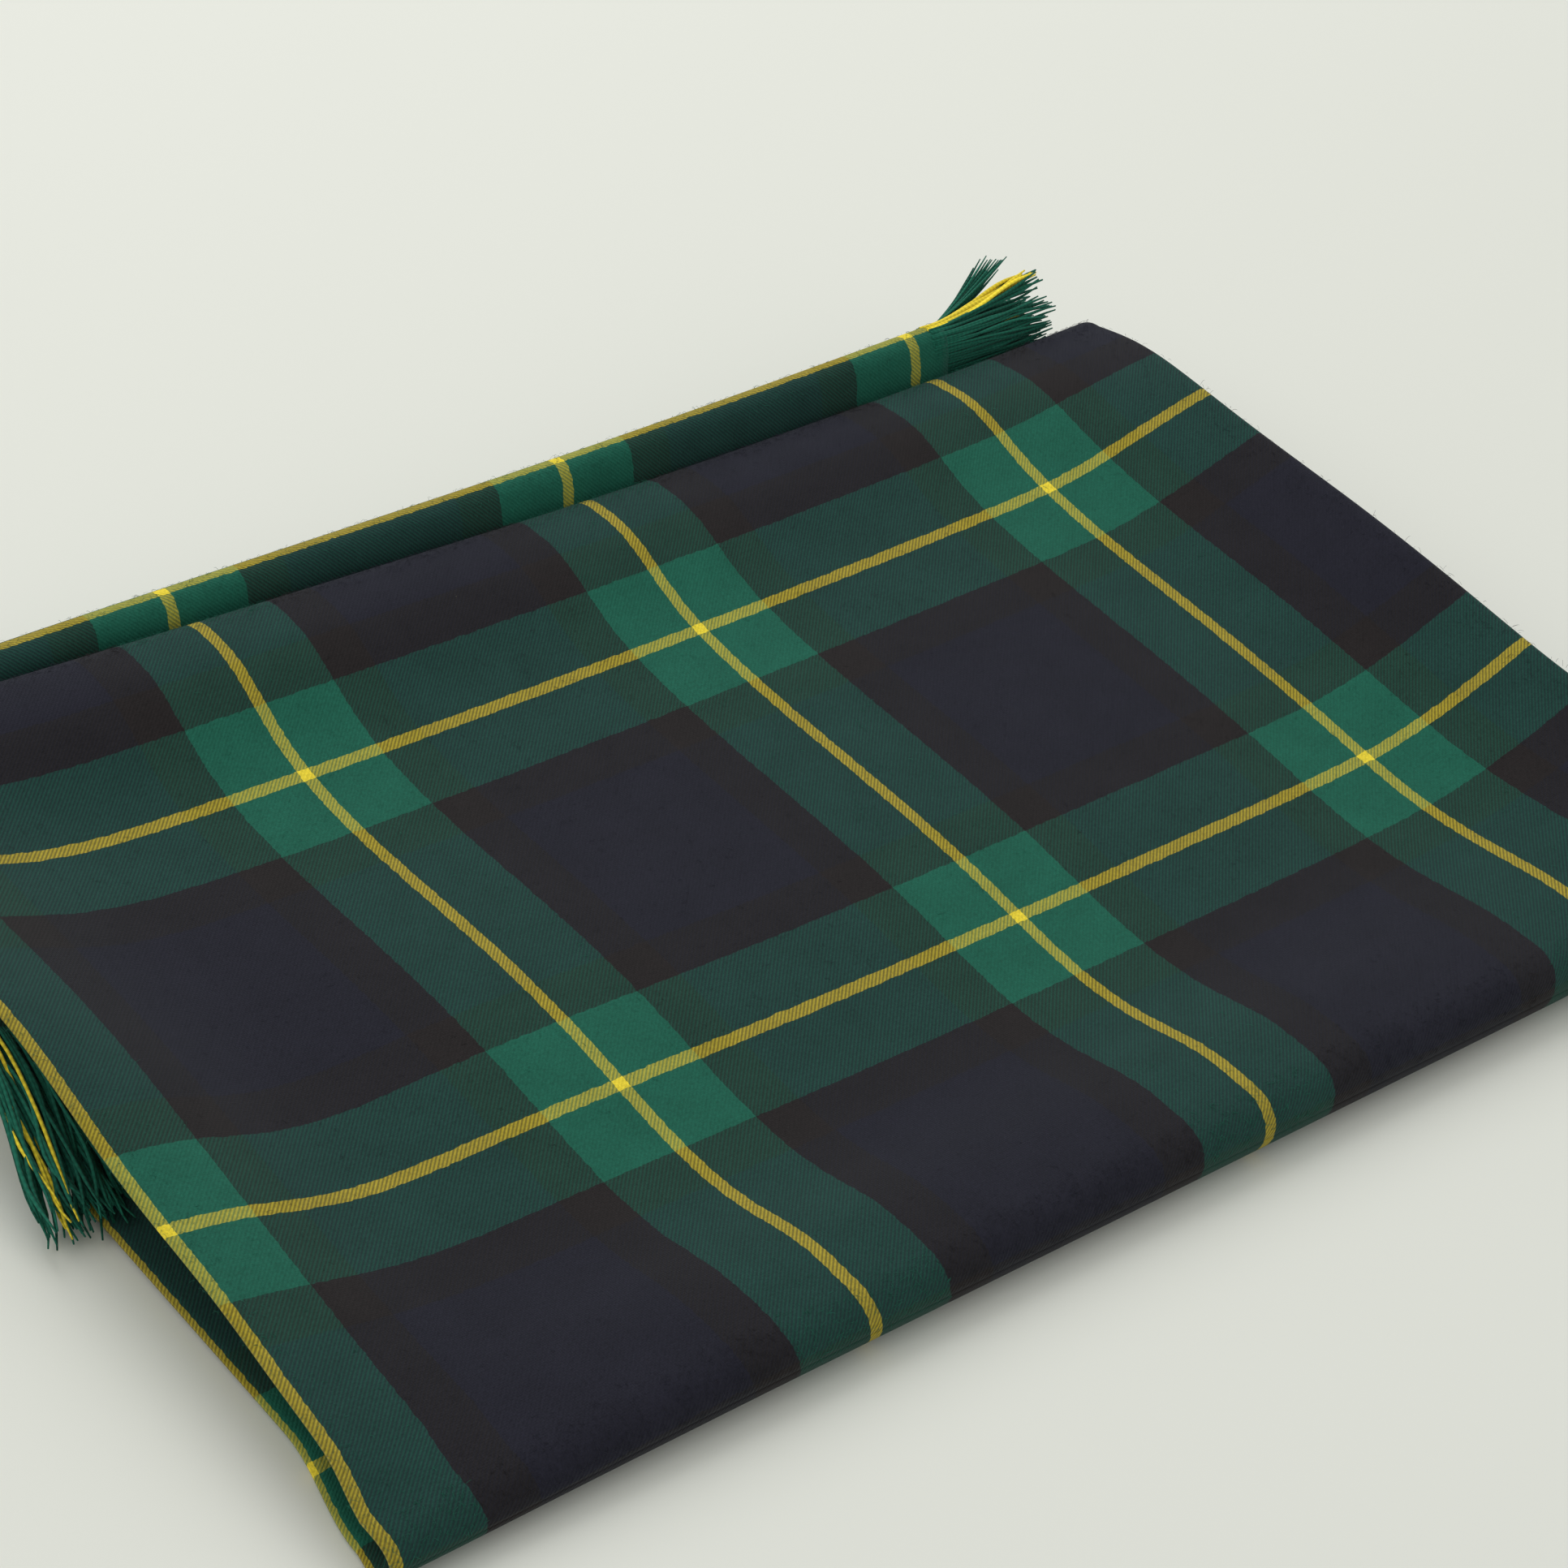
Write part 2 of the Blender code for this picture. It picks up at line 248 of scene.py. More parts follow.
def other_ply(u):
    """The thread of the inner ply that lies under the thread u of the outer one."""
    return 2 * MIDDLE_FOLD + SLACK - u


def bend_threads(bends):
    """The threads round the lengthwise fold, at these angles."""
    return MIDDLE_FOLD - HALF_BEND + (2 * HALF_BEND + SLACK) * (1 - np.cos(bends)) / 2


def doubled_cloth():
    """The doubled part of the throw as rows of points: the outer ply, the fold at the right, and the inner ply."""
    outer_u = stations(LEFT_EDGE, MIDDLE_FOLD - HALF_BEND, STEP / REPEAT)
    outer, split = ply(outer_u, True)
    inner, _ = ply(outer_u, False)
    v, v_inner = along(outer), along(inner)

    bends = np.linspace(0, math.pi, 9)[1:-1]
    over, under = outer[:, -1], inner[:, -1]
    radius = np.maximum(np.linalg.norm(over - under, axis=1) / 2, LEAST_RADIUS)
    fold = [
        over + (under - over) * (1 - math.cos(b)) / 2 + np.outer(radius * math.sin(b), (1, 0, 0)) for b in bends
    ]
    points = np.concatenate([outer, np.stack(fold, axis=1), inner[:, ::-1]], axis=1)
    u = np.concatenate([outer_u, bend_threads(bends), other_ply(outer_u[::-1])])
    share = (1 - np.cos(bends)) / 2
    v_bend = v[:, -1:] * (1 - share) + v_inner[:, -1:] * share
    v = np.concatenate([v, v_bend, v_inner[:, ::-1]], axis=1)
    cloth = np.stack([np.repeat(u[None, :], len(v), 0), v, np.zeros_like(v)], axis=2)
    kept = u < RIGHT_EDGE + 0.001
    return points[:, kept], cloth[:, kept], split


# The tail: the other end of the cloth, crosswise inside the pack, with its rolled edge behind the back fold
TAIL_LEFT, TAIL_RIGHT = -0.1675, 0.139
TAIL_LINE = -0.071  # a yellow line that crosses it, along X
TAIL_INSET = 0.020  # how much further in its hidden plies start at the left
TAIL_FRONT = -0.12  # further forward than any of its plies reaches
TAIL_STEP = 0.0016  # distance between its threads
CREST_U = 1.0  # the yellow line that runs along the crest
CREST_LINE = 0.0009  # and how far behind the crest it runs
CREST_Y = 0.1112
ROLL_DEPTH = 0.0055  # from the crest to the roll's front and back
ROLL_INSET = 0.0012  # how much smaller the inner ply's roll is
ROLL_POINTS = 90
CREST_X = (-0.170, -0.071, 0.029, 0.129, 0.150)
CREST_HEIGHT = (0.0200, 0.0233, 0.0258, 0.0306, 0.0318)
# The roll's section, from the plies that come in under the back fold, over the crest and down to the lower plies:
# place along Y, share of the crest's height, height added to it, and "upper" or "lower" where it lies in the pack
# at the level of those plies
TAIL_LEVELS = {False: {"upper": 5, "lower": 2}, True: {"upper": 4, "lower": 3}}  # outer ply, inner ply
ROLL_SECTION = (
    (0.0960, 0, 0.0, "upper"),
    (0.1010, 0, 0.0, "upper"),
    (0.1052, 0.62, 0.0, None),
    (0.1066, 0.80, 0.0, None),
    (0.1084, 0.95, 0.0, None),
    (CREST_Y, 1.0, 0.0, None),
    (0.1142, 0.93, 0.0, None),
    (0.1160, 0.72, 0.0, None),
    (0.1166, 0.45, 0.0, None),
    (0.1163, 0.18, 0.0, None),
    (0.1145, 0, 0.0016, None),
    (0.1115, 0, 0.0022, None),
    (0.1060, 0, 0.0, "lower"),
    (0.1000, 0, 0.0, "lower"),
)


def tail_section(x, inner):
    """The tail's line across the pack at each x: points along Y and Z, from under the top panel to the lower plies."""
    levels, inset = TAIL_LEVELS[inner], ROLL_INSET if inner else 0
    crest = spline(CREST_X, CREST_HEIGHT, x)
    places, heights = [], []
    for y, share, lift, lies in ROLL_SECTION:
        if lies:
            height = at_level(pack_top(x, np.full_like(x, y)), levels[lies])
        else:
            y = y + (CREST_Y - y) * inset / ROLL_DEPTH
            height = crest * share + lift + (inset if share < 0.5 else -inset)
        places.append(np.full_like(x, y))
        heights.append(height)
    places, heights = np.array(places), np.array(heights)
    dense = spline_weights(np.arange(len(places)), np.linspace(0, len(places) - 1, ROLL_POINTS))
    roll = np.stack([dense @ places, dense @ heights])

    def inside(y, level):
        rows_y = np.repeat(y[:, None], len(x), 1)
        return np.stack([rows_y, at_level(pack_top(np.repeat(x[None, :], len(y), 0), rows_y), level)])

    before = inside(stations(TAIL_FRONT, ROLL_SECTION[0][0])[:-1], levels["upper"])
    after = inside(stations(TAIL_FRONT, ROLL_SECTION[-1][0])[:-1][::-1], levels["lower"])
    return np.concatenate([before, roll, after], axis=1)


def tail_ply(x, u, inner):
    """The places of the threads u of one of the tail's plies, at each x."""
    section = tail_section(x, inner)
    strides = np.hypot(*np.diff(section, axis=1))
    length = np.concatenate([np.zeros((1, len(x))), np.cumsum(strides, axis=0)])
    crest = np.argmax(section[1], axis=0)
    points = np.empty((len(u), len(x), 3))
    for i in range(len(x)):
        at = length[crest[i], i] + CREST_LINE + REPEAT * (u - CREST_U)
        points[:, i, 0] = x[i]
        points[:, i, 1] = np.interp(at, length[:, i], section[0, :, i])
        points[:, i, 2] = np.interp(at, length[:, i], section[1, :, i])
    return points


def tail_left(u):
    """Where the tail's cloth starts at the left: further in where the pack hides it."""
    hidden = np.maximum(smooth((0.86 - u) / 0.12), smooth((u - 1.42) / 0.12))
    return TAIL_LEFT + TAIL_INSET * hidden


def tail_cloth():
    """The tail as rows of points, one for each thread across it, from the selvedge to the middle fold and back."""
    outer_u = stations(LEFT_EDGE, MIDDLE_FOLD - HALF_BEND, TAIL_STEP / REPEAT)
    x = stations(TAIL_LEFT, TAIL_RIGHT, STEP)
    share = (x - TAIL_LEFT) / (TAIL_RIGHT - TAIL_LEFT)
    sides = []
    for inner in (False, True):
        points = tail_ply(x, outer_u, inner)
        left = tail_left(outer_u)[:, None]
        moved = left + (TAIL_RIGHT - left) * share[None, :]
        for i in range(len(outer_u)):
            for axis in (1, 2):
                points[i, :, axis] = np.interp(moved[i], x, points[i, :, axis])
        points[:, :, 0] = moved
        sides.append(points)
    outer, inner = sides
    bends = np.linspace(0, math.pi, 7)[1:-1]
    bend = [
        outer[-1] + (inner[-1] - outer[-1]) * (1 - math.cos(b)) / 2 + np.array((0, -0.001 * math.sin(b), 0))
        for b in bends
    ]
    points = np.concatenate([outer, np.stack(bend), inner[::-1]])
    u = np.concatenate([outer_u, bend_threads(bends), other_ply(outer_u[::-1])])
    v = (points[:, :, 0] - TAIL_LINE) / REPEAT
    cloth = np.stack([np.repeat(u[:, None], len(x), 1), v, np.zeros_like(v)], axis=2)
    kept = u < RIGHT_EDGE + 0.001
    return points[kept], cloth[kept]


# Fringes -----------------------------------------------------------------------------------------------------

TWISTS = 30  # turns of twist that a yarn shows
TIP_START, TIP_THINNER = 0.8, 0.55  # where along a yarn its tip starts to thin, and by how much
LOCK_LEANS = 2000  # different leans that locks can have
NEAR_LINE = 0.02  # yarns this close to a yellow line's middle, in repeats, count as yellow
YELLOW_SHARE = 0.22  # of the tucked flap's yellow yarns, how many stand out from the others
LEAST_Y = 0.1068  # the bunch of yarns at the right stays behind the back fold


def yarns(name, paths, radii, u, bright, material, sides=5):
    """Loose yarns, each a tube round its own path, thinner at the tip.

    u is each yarn's thread of the cloth. The attribute "yarn" carries the twist's turns along it, and its brightness.
    """
    count, rings = paths.shape[:2]
    ahead = np.gradient(paths, axis=1)
    ahead /= np.linalg.norm(ahead, axis=2, keepdims=True)
    side = np.cross(ahead, (0.21, 0.13, 0.97))
    side /= np.linalg.norm(side, axis=2, keepdims=True)
    over = np.cross(side, ahead)
    share = np.linspace(0, 1, rings)
    width = radii[:, None] * (1 - TIP_THINNER * smooth((share - TIP_START) / (1 - TIP_START)))[None, :]
    angles = 2 * math.pi * np.arange(sides) / sides
    ring = side[:, :, None] * np.cos(angles)[:, None] + over[:, :, None] * np.sin(angles)[:, None]
    points = paths[:, :, None] + ring * width[:, :, None, None]
    index = np.arange(count * rings * sides).reshape(count, rings, sides)
    turned = np.roll(index, -1, axis=2)
    quads = np.stack([index[:, :-1], turned[:, :-1], turned[:, 1:], index[:, 1:]], axis=-1).reshape(-1, 4)
    caps = np.concatenate([index[:, 0, ::-1], index[:, -1]])
    mesh = bpy.data.meshes.new(name)
    mesh.from_pydata(points.reshape(-1, 3).tolist(), [], quads.tolist() + caps.tolist())
    shape = (count, rings, sides)
    place = np.stack([np.broadcast_to(u[:, None, None], shape), np.zeros(shape), np.zeros(shape)], axis=-1)
    twist = np.broadcast_to((share * TWISTS)[None, :, None], shape)
    lay = np.stack([twist, np.broadcast_to(bright[:, None, None], shape), np.zeros(shape)], axis=-1)
    for key, values in (("cloth", place), ("yarn", lay)):
        mark = mesh.attributes.new(key, "FLOAT_VECTOR", "POINT")
        mark.data.foreach_set("vector", values.astype(np.float32).ravel())
    mesh.materials.append(material)
    mesh.shade_smooth()
    obj = bpy.data.objects.new(name, mesh)
    bpy.context.scene.collection.objects.link(obj)
    return obj


def locks(u, random, width, sway):
    """Yarns cling together in locks: the middle of each yarn's lock, and the lock's own lean."""
    lock = np.floor(u / width + 0.5)
    leans = random.normal(0, sway, LOCK_LEANS)
    return lock * width, leans[(lock.astype(int) * 7) % LOCK_LEANS]


def gathered(name, sets, random, brightness, spread, material):
    """One piece from sets of yarns, each set with its paths, radii and threads."""
    paths, radii, u = (np.concatenate([part[i] for part in sets]) for i in range(3))
    bright = random.normal(brightness, spread, len(u))
    return yarns(name, paths, radii, u, bright, material)


def flap_fringe(material):
    """The fringe of the tucked flap, which points to the front and hangs out at the left."""
    random = np.random.default_rng(11)
    sets = []
    for outer in (True, False):
        # Threads, in repeats: close together where they hang out, and further apart inside the pack
        shown = np.arange(LEFT_EDGE + 0.004, -0.60, 0.0028)
        thread = np.concatenate([shown, np.arange(-0.60, MIDDLE_FOLD - 0.05, 0.0090)])
        thread = thread + random.uniform(-0.003, 0.003, len(thread))
        yellow = abs((thread if outer else other_ply(thread)) % 1 - 0.5) > 0.5 - NEAR_LINE
        thread = thread[~yellow | (random.uniform(0, 1, len(thread)) < YELLOW_SHARE)]
        one = (len(thread), 1)
        level = PANEL_LEVELS[outer][1]
        places = np.linspace(LEFT_EDGE, MIDDLE_FOLD, 200)
        root_x = np.interp(thread, places, row_positions(places, np.array([FLAP_END]))[0] - FLAP_SKEW)
        middle, lean = locks(thread, random, 0.075, 0.0016)
        t = np.linspace(-0.06, 1, 12)[None, :]  # along the yarn, from just inside the cloth
        s = np.clip(t, 0, 1)
        hang = smooth((-0.144 - root_x) / 0.016)[:, None]  # how free of the pack the yarn hangs
        length = FRINGE * random.uniform(0.86, 1.02, one)
        cling = (middle - thread)[:, None] * REPEAT * 0.35 * smooth(s)
        wave = random.normal(0, 0.0011, one) * np.sin(7 * s + random.uniform(0, 6, one)) * s
        own = random.normal(0, 0.0014, one) * s**1.2 + wave
        out = -0.0038 * smooth((-0.150 - root_x) / 0.025)[:, None] * s**1.3
        x = root_x[:, None] + cling + own + lean[:, None] * s**1.5 + out
        y = FLAP_END - length * t * (1 - 0.14 * hang * s)
        inside = at_level(pack_top(x, y), level)
        root_z = at_level(pack_top(root_x, np.full_like(root_x, FLAP_END)), level)[:, None]
        tip = random.uniform(0.0012, 0.0085, one)
        fall = root_z + (tip - root_z) * smooth(s * 0.97) ** 0.85 + random.normal(0, 0.0010, one) * np.sin(3 * s)
        z = inside * (1 - hang) + fall * hang
        radius = 0.00029 + 0.00009 * hang[:, 0]
        z = np.maximum(z, radius[:, None] + 0.0002)
        sets.append((np.stack([x, y, z], axis=2), radius, thread if outer else other_ply(thread)))
    return gathered("flap_fringe", sets, random, 0.95, 0.18, material)


def roll_fringe(material):
    """The bunch of yarns at the right end of the tail's rolled edge."""
    random = np.random.default_rng(5)
    sets = []
    t = np.linspace(-0.12, 1, 13)[None, :]  # along the yarn, from just inside the cloth
    s = np.clip(t, 0, 1)
    root_x = np.array([TAIL_RIGHT - 0.002, TAIL_RIGHT])
    for inner in (False, True):
        u = np.arange(0.80, 1.50, 0.0045)
        one = (len(u), 1)
        u = u + random.uniform(-0.002, 0.002, len(u))
        root = tail_ply(root_x, u, inner)[:, -1]
        yellow = abs(u - CREST_U) < 0.016
        _, lean = locks(u, random, 0.05, 0.0016)
        length = 0.0355 * random.uniform(0.84, 1.05, len(u))[:, None]
        height = (root[:, 2] - 0.020) / 0.010  # 0 half way up the roll and 1 at its crest
        fan = np.clip(height, -1, 1.2)[:, None]
        curl = random.uniform(0, 6, one)
        wave = random.uniform(0.0002, 0.0010, one) * np.sin(5 * s + curl) * s
        rise = (0.0010 * fan + lean[:, None] * 0.8 + random.normal(0, 0.0009, one)) * s**1.4
        back = (0.0006 + random.normal(0, 0.0010, one) + lean[:, None] * 0.5) * s**1.4
        # The yellow yarns rise out of the bunch together
        rise = np.where(yellow[:, None], 0.0046 * s**1.25 + wave * 0.4, rise)
        back = np.where(yellow[:, None], 0.0030 * s**1.2 + 0.25 * back, back)
        x = root[:, 0:1] + length * t * (1 - 0.04 * s)
        y = root[:, 1:2] + back + wave
        z = root[:, 2:3] + rise + wave - 0.0012 * s * (height[:, None] > 0.4) * ~yellow[:, None]
        y = np.maximum(y, LEAST_Y)
        z = np.clip(z, 0.0008, YARN_TOP)
        radius = np.where(yellow, 0.00046, 0.00038)
        sets.append((np.stack([x, y, z], axis=2), radius, other_ply(u) if inner else u))
    # A few yarns have sprung loose, upwards and back
    loose = np.linspace(1.03, 1.10, 24)
    one = (len(loose), 1)
    root = tail_ply(root_x, loose, False)[:, -1]
    x = root[:, 0:1] + random.uniform(0.023, 0.032, one) * t
    y = root[:, 1:2] + random.uniform(0.0080, 0.0115, one) * s**1.3
    z = np.minimum(root[:, 2:3] + random.uniform(0.0060, 0.0076, one) * s**1.2, YARN_TOP)
    sets.append((np.stack([x, y, z], axis=2), np.full(len(loose), 0.00030), loose))
    return gathered("roll_fringe", sets, random, 1.0, 0.14, material)


def tail_fringe(material):
    """The rest of the tail's fringe, inside the pack, with its tips at the right."""
    random = np.random.default_rng(3)
    sets = []
    t = np.linspace(-0.05, 1, 8)[None, :]
    for inner in (False, True):
        # The threads below and above those of the bunch, in repeats
        u = np.concatenate([np.arange(-1.0, 0.78, 0.0125), np.arange(1.54, 2.45, 0.0125)])
        u = u + random.uniform(-0.003, 0.003, len(u))
        x = TAIL_RIGHT + FRINGE * random.uniform(0.93, 1.0, (len(u), 1)) * t
        places = stations(TAIL_RIGHT - 0.003, TAIL_RIGHT + FRINGE + 0.001, 0.004)
        lines = tail_ply(places, u, inner)
        y = np.array([np.interp(x[i], places, lines[i, :, 1]) for i in range(len(u))])
        z = np.array([np.interp(x[i], places, lines[i, :, 2]) for i in range(len(u))])
        y = y + random.normal(0, 0.0012, (len(u), 1)) * np.clip(t, 0, 1)
        sets.append((np.stack([x, y, z], axis=2), np.full(len(u), 0.00028), other_ply(u) if inner else u))
    return gathered("tail_fringe", sets, random, 1.0, 0.14, material)


def fuzz(name, points, cloth, chosen, material, seed):
    """Loose fibres of brushed wool: short thin hairs that stand off the cloth at the chosen points."""
    random = np.random.default_rng(seed)
    rows, columns = chosen
    along_rows, along_columns = np.gradient(points, axis=0), np.gradient(points, axis=1)
    normal = np.cross(along_rows, along_columns)
    normal /= np.maximum(np.linalg.norm(normal, axis=2, keepdims=True), 1e-9)
    count = len(rows)
    start = points[rows, columns]
    start = start + along_rows[rows, columns] * random.uniform(-0.5, 0.5, (count, 1))
    start = start + along_columns[rows, columns] * random.uniform(-0.5, 0.5, (count, 1))
    # Outwards is away from a point low in the pack, and mostly upwards or along Y
    out = normal[rows, columns]
    out = out * np.sign((out * (start - (0, 0, 0.008)) * (0.3, 1, 8)).sum(axis=1, keepdims=True))
    lie = random.normal(0, 1, (count, 3))
    lie -= (lie * out).sum(axis=1, keepdims=True) * out
    lie /= np.linalg.norm(lie, axis=1, keepdims=True)
    reach, lift = random.uniform(0.0006, 0.0018, (count, 1)), random.uniform(0.0002, 0.0006, (count, 1))
    t = np.linspace(0, 1, 5)
    paths = np.stack(
        [start + out * PLY * 0.3 + lie * reach * k + out * lift * math.sin(2.6 * k) for k in t], axis=1
    )
    paths[:, :, 2] = np.maximum(paths[:, :, 2], 0.0001)
    radii = random.uniform(0.000018, 0.000036, count)
    bright = random.uniform(0.9, 1.6, count)
    u = cloth[rows, columns, 0]
    u = np.where(abs(u - np.round(u)) < NEAR_LINE, u + 0.05, u)  # no yellow hairs
    return yarns(name, paths, radii, u, bright, material, sides=3)


def near_edge(x, y, z):
    """Whether a place on the upper ply is by the pack's outline, where fibres show against what is behind them."""
    return ((x < -0.163) | (x > 0.171) | (y > 0.1) | (y < -0.105)) & (z > 0.006)


def fuzz_points(points, count, seed, keep):
    """count random places on the cloth, among those that keep(x, y, z) says are seen."""
    random = np.random.default_rng(seed)
    rows, columns = np.nonzero(keep(*np.moveaxis(points, 2, 0)))
    picked = random.integers(0, len(rows), count)
    return rows[picked], columns[picked]


# Materials ---------------------------------------------------------------------------------------------------


class Shade:
    """Builds a material's nodes: each call adds a node and gives its output."""

    def __init__(self, name):
        self.material = bpy.data.materials.new(name)
        self.material.use_nodes = True
        self.tree = self.material.node_tree
        self.shader = self.tree.nodes["Principled BSDF"]

    def feed(self, socket, value):
        """Link the socket to a node's output, or set it to a value."""
        if isinstance(value, bpy.types.NodeSocket):
            self.tree.links.new(value, socket)
        elif value is not None:
            socket.default_value = value

    def node(self, kind, output=0, settings=(), **inputs):
        made = self.tree.nodes.new(kind)
        for key, value in settings:
            setattr(made, key, value)
        for key, value in inputs.items():
            self.feed(made.inputs[key.replace("_", " ")], value)
        return made.outputs[output]

    def attribute(self, name):
        return self.node("ShaderNodeAttribute", "Vector", settings=[("attribute_name", name)])

    def parts(self, vector):
        """The X, Y and Z of a vector, or the red, green and blue of a colour."""
        made = self.tree.nodes.new("ShaderNodeSeparateXYZ")
        self.feed(made.inputs[0], vector)
        return made.outputs

    def math(self, operation, a, b=None):
        made = self.tree.nodes.new("ShaderNodeMath")
        made.operation = operation
        for socket, value in zip(made.inputs, (a, b)):
            self.feed(socket, value)
        return made.outputs[0]

    def mix(self, factor, a, b, blend="MIX"):
        made = self.tree.nodes.new("ShaderNodeMix")
        made.data_type = "RGBA"
        made.blend_type = blend
        self.feed(made.inputs["Factor"], factor)
        self.feed(made.inputs[6], a)
        self.feed(made.inputs[7], b)
        return made.outputs[2]

    def lit(self, colour, light):
        """The colour made darker or lighter, by a number that 1 leaves as it is."""
        grey = self.tree.nodes.new("ShaderNodeCombineXYZ")
        for socket in grey.inputs:
            self.feed(socket, light)
        return self.mix(1.0, colour, grey.outputs[0], "MULTIPLY")

    def ramp(self, factor, stops, interpolation="LINEAR"):
        """A colour for each factor from 0 to 1, from stops that each have a place and a colour."""
        made = self.tree.nodes.new("ShaderNodeValToRGB")
        made.color_ramp.interpolation = interpolation
        elements = made.color_ramp.elements
        while len(elements) < len(stops):
            elements.new(0.5)
        for element, (place, colour) in zip(elements, stops):
            element.position = place
            element.color = (*colour, 1)
        self.feed(made.inputs[0], factor)
        return made.outputs[0]


YELLOW, GREEN = (0.93, 0.73, 0.052), (0.014, 0.122, 0.080)
BLACK, NAVY = (0.020, 0.016, 0.0165), (0.017, 0.0165, 0.027)
# From a yellow line outwards, in repeats: half of the line, green to its edge, black, and navy to the middle
SETT_STOPS = ((0.0, YELLOW), (0.025, GREEN), (0.355, BLACK), (0.56, NAVY))


def thread_colour(shade, place):
    """The colour of the threads at a place across the tartan."""
    share = shade.math("MULTIPLY", shade.math("PINGPONG", place, 0.5), 2)
    return shade.ramp(share, SETT_STOPS, "CONSTANT")


TWILL_YARN = 0.0048  # one yarn of the twill, in repeats
TWILL_CONTRAST = 0.21  # how much more than half of what shows is warp where the slanting lines are warp
YARN_SHADE_SHARE = 0.3  # painted shade between the yarns: how far the darker of warp and weft wins
WANDER = 0.008  # how unevenly the stripes' edges run, in repeats
LINT_COLOUR = (0.30, 0.30, 0.24, 1)


def woven(name):
    """Brushed wool twill in the tartan's colours."""
    shade = Shade(name)
    place = shade.attribute("cloth")
    u, v = shade.parts(place)[:2]
    noise = shade.parts(shade.node("ShaderNodeTexNoise", "Color", Vector=place, Scale=60.0, Detail=2.0))
    warp, weft = (
        thread_colour(
            shade, shade.math("ADD", at, shade.math("MULTIPLY", shade.math("SUBTRACT", uneven, 0.5), WANDER))
        )
        for at, uneven in ((u, noise[0]), (v, noise[1]))
    )

    turns = math.pi / TWILL_YARN
    slant = shade.math("SINE", shade.math("MULTIPLY", shade.math("ADD", u, v), turns))
    on_top = shade.math("ADD", shade.math("MULTIPLY", slant, TWILL_CONTRAST), 0.5)
    colour = shade.mix(on_top, weft, warp)
    # Painted shade between the yarns: the mixed colour leans towards the darker of warp and weft
    colour = shade.mix(YARN_SHADE_SHARE, colour, shade.mix(1.0, weft, warp, "DARKEN"))

    # Fibres make it lighter and darker from point to point, and a little from patch to patch, around 1
    speckle = shade.node("ShaderNodeTexNoise", 0, Vector=place, Scale=150.0, Detail=3.0, Roughness=0.7)
    blotch = shade.node("ShaderNodeTexNoise", 0, Vector=place, Scale=8.0, Detail=4.0, Roughness=0.7)
    light = shade.math("ADD", speckle, shade.math("MULTIPLY", blotch, 0.5))
    colour = shade.lit(colour, shade.math("ADD", light, 0.25))

    # A few pale specks of lint
    lint = shade.tree.nodes.new("ShaderNodeTexVoronoi")
    shade.feed(lint.inputs["Vector"], place)
    shade.feed(lint.inputs["Scale"], 8.0)
    chance = shade.parts(lint.outputs["Color"])
    speck = shade.math("LESS_THAN", lint.outputs["Distance"], shade.math("MULTIPLY", chance[0], 0.022))
    speck = shade.math("MULTIPLY", speck, shade.math("GREATER_THAN", chance[1], 0.55))
    colour = shade.mix(shade.math("MULTIPLY", speck, 0.55), colour, LINT_COLOUR)
    shade.feed(shade.shader.inputs["Base Color"], colour)

    along_yarn = shade.math("SINE", shade.math("MULTIPLY", u, turns * 2))
    across_yarn = shade.math("SINE", shade.math("MULTIPLY", v, turns * 2))
    weave = shade.math("ADD", slant, shade.math("MULTIPLY", shade.math("ADD", along_yarn, across_yarn), 0.25))
    nap = shade.node("ShaderNodeTexNoise", 0, Vector=place, Scale=260.0, Detail=4.0, Roughness=0.75)
    relief = shade.math("ADD", shade.math("MULTIPLY", weave, 0.22), nap)
    bump = shade.node("ShaderNodeBump", "Normal", Height=relief, Distance=0.00035, Strength=0.55)
    shade.feed(shade.shader.inputs["Normal"], bump)
    finish_wool(shade)
    return shade.material


def finish_wool(shade):
    """Matt wool with a faint sheen."""
    inputs = shade.shader.inputs
    inputs["Roughness"].default_value = 0.92
    inputs["Specular IOR Level"].default_value = 0.12
    inputs["Sheen Weight"].default_value = 0.08
    inputs["Sheen Roughness"].default_value = 0.45
    inputs["Sheen Tint"].default_value = (0.75, 0.85, 0.9, 1)


def yarn_material(name):
    """Loose warp yarn: the colour of its place across the cloth, with the twist of the yarn as a bump and as painted
    shade in its grooves and painted light on its ridges.
    """
    shade = Shade(name)
    colour = thread_colour(shade, shade.parts(shade.attribute("cloth"))[0])
    turns, bright = shade.parts(shade.attribute("yarn"))[:2]
    groove = shade.math("SINE", shade.math("MULTIPLY", turns, 2 * math.pi))
    # Painted shade in the twist's grooves and painted light on its ridges
    colour = shade.lit(colour, shade.math("ADD", shade.math("MULTIPLY", groove, 0.12), bright))
    shade.feed(shade.shader.inputs["Base Color"], colour)
    bump = shade.node("ShaderNodeBump", "Normal", Height=groove, Distance=0.0001, Strength=0.5)
    shade.feed(shade.shader.inputs["Normal"], bump)
    finish_wool(shade)
    return shade.material


def floor_material():
    """The pale surface, a little uneven in tone."""
    shade = Shade("pale_table")
    places = shade.node("ShaderNodeTexCoord", "Object")
    patches = shade.node("ShaderNodeTexNoise", 0, Vector=places, Scale=1.2, Detail=2.0)
    colour = shade.ramp(patches, ((0.3, (0.81, 0.815, 0.755)), (0.7, (0.83, 0.835, 0.78))))
    shade.feed(shade.shader.inputs["Base Color"], colour)
    shade.shader.inputs["Roughness"].default_value = 0.6
    shade.shader.inputs["Specular IOR Level"].default_value = 0.2
    return shade.material


# Stage -------------------------------------------------------------------------------------------------------

